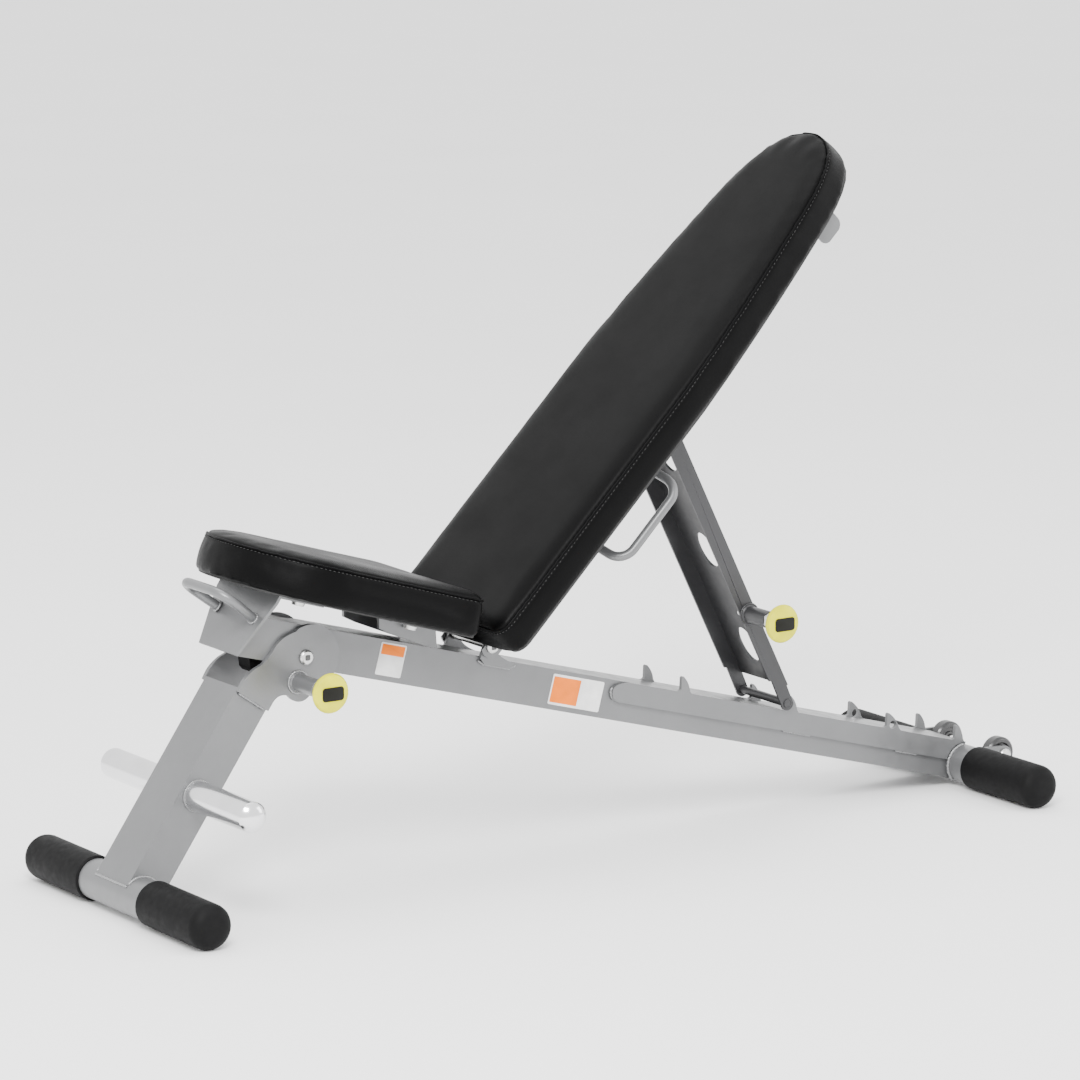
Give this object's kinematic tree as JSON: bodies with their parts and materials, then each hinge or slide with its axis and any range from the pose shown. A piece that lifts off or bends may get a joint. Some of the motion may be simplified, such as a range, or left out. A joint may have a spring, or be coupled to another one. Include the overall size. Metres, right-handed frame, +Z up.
{
  "type": "decline sit-up bench",
  "caption": "Adjustable decline sit-up bench with a padded seat, tilting back pad on a hooked strut, folding front leg, sprung pins, carry loops and wheels.",
  "frame": {"origin": "middle of the bench on the floor, at the centre of its box", "axes": "+Z up, +X along the bench from the foot end to the head end, +Y across it; the pull knobs are on the -Y side"},
  "size_m": [1.345, 0.426, 0.8846],
  "materials": {
    "silver_paint": "light silver paint over steel",
    "charcoal_paint": "dark grey paint over steel",
    "vinyl": "black upholstery vinyl with a fine grain",
    "board": "black backing board",
    "rubber": "black moulded rubber",
    "wheel_plastic": "black moulded wheel",
    "chrome": "polished chrome plate",
    "zinc": "zinc-plated fasteners",
    "yellow_plastic": "pale yellow moulded plastic"
  },
  "bodies": {
    "frame": {"main_beam": "silver_paint", "leg_lock_tab": "silver_paint", "beam_stop": "rubber", "seat_front_bracket": "silver_paint", "front_handle": "silver_paint", "seat_rear_bracket": "silver_paint", "ladder_plate_left": "silver_paint", "ladder_plate_right": "silver_paint", "rear_bar": "silver_paint", "rear_grip_left": "rubber", "rear_grip_right": "rubber", "wheel_bracket_left": "silver_paint", "wheel_bracket_right": "silver_paint", "wheel_axle_left": "zinc", "wheel_axle_right": "zinc", "back_lug_left": "silver_paint", "back_lug_right": "silver_paint", "back_pivot_bolt": "zinc", "back_pivot_nut": "zinc", "leg_pivot_bolt": "zinc", "leg_pivot_nut": "zinc", "seat_board": "board", "seat_pad": "vinyl", "seat_bolt_front_left": "zinc", "seat_bolt_front_right": "zinc", "seat_bolt_rear_left": "zinc", "seat_bolt_rear_right": "zinc"},
    "front_leg": {"leg_tube": "silver_paint", "leg_ear_left": "silver_paint", "leg_ear_right": "silver_paint", "foot_bar": "silver_paint", "foot_grip_left": "rubber", "foot_grip_right": "rubber", "peg_bar": "chrome", "leg_pin_sleeve": "silver_paint", "leg_pin_nut": "zinc"},
    "leg_pull_pin": {"leg_pin_rod": "zinc", "leg_pin_knob": "yellow_plastic"},
    "backrest": {"back_board": "board", "back_pad": "vinyl", "back_channel": "silver_paint", "back_strap_left": "silver_paint", "back_strap_right": "silver_paint", "back_top_bracket": "silver_paint", "back_handle": "silver_paint"},
    "strut": {"strut_channel": "charcoal_paint", "strut_rod": "charcoal_paint", "strut_pivot_bolt": "zinc", "strut_pivot_nut": "zinc", "strut_pin_sleeve": "charcoal_paint", "strut_pin_nut": "zinc"},
    "strut_pull_pin": {"strut_pin_rod": "zinc", "strut_pin_knob": "yellow_plastic"},
    "left_wheel": {"wheel_left": "wheel_plastic"},
    "right_wheel": {"wheel_right": "wheel_plastic"}
  },
  "joints": [
    {"name": "backrest_tilt", "type": "hinge", "parent": "frame", "child": "backrest", "pos_m": [-0.14571, 0, 0.27856], "axis": [0, -1, 0], "range_deg": [-57, 0]},
    {"name": "strut_swing", "type": "hinge", "parent": "backrest", "child": "strut", "pos_m": [0.11787, 0, 0.52854], "axis": [0, -1, 0], "range_deg": [0, 105.5]},
    {"name": "leg_fold", "type": "hinge", "parent": "frame", "child": "front_leg", "pos_m": [-0.41419, 0, 0.29762], "axis": [0, -1, 0], "range_deg": [0, 100]},
    {"name": "leg_pin_pull", "type": "slide", "parent": "front_leg", "child": "leg_pull_pin", "axis": [0, -1, 0], "range_m": [0, 0.012], "stiffness_N_per_m": 500, "springref_m": -0.004},
    {"name": "strut_pin_pull", "type": "slide", "parent": "strut", "child": "strut_pull_pin", "axis": [0, -1, 0], "range_m": [0, 0.012], "stiffness_N_per_m": 500, "springref_m": -0.004},
    {"name": "left_wheel_spin", "type": "hinge", "parent": "frame", "child": "left_wheel", "pos_m": [0.65, -0.05475, 0.039], "axis": [0, 1, 0], "continuous": true},
    {"name": "right_wheel_spin", "type": "hinge", "parent": "frame", "child": "right_wheel", "pos_m": [0.65, 0.05475, 0.039], "axis": [0, 1, 0], "continuous": true}
  ],
  "couplings": [
    {"joint": "strut_swing", "follows": "backrest_tilt", "ratio": -1.85}
  ]
}
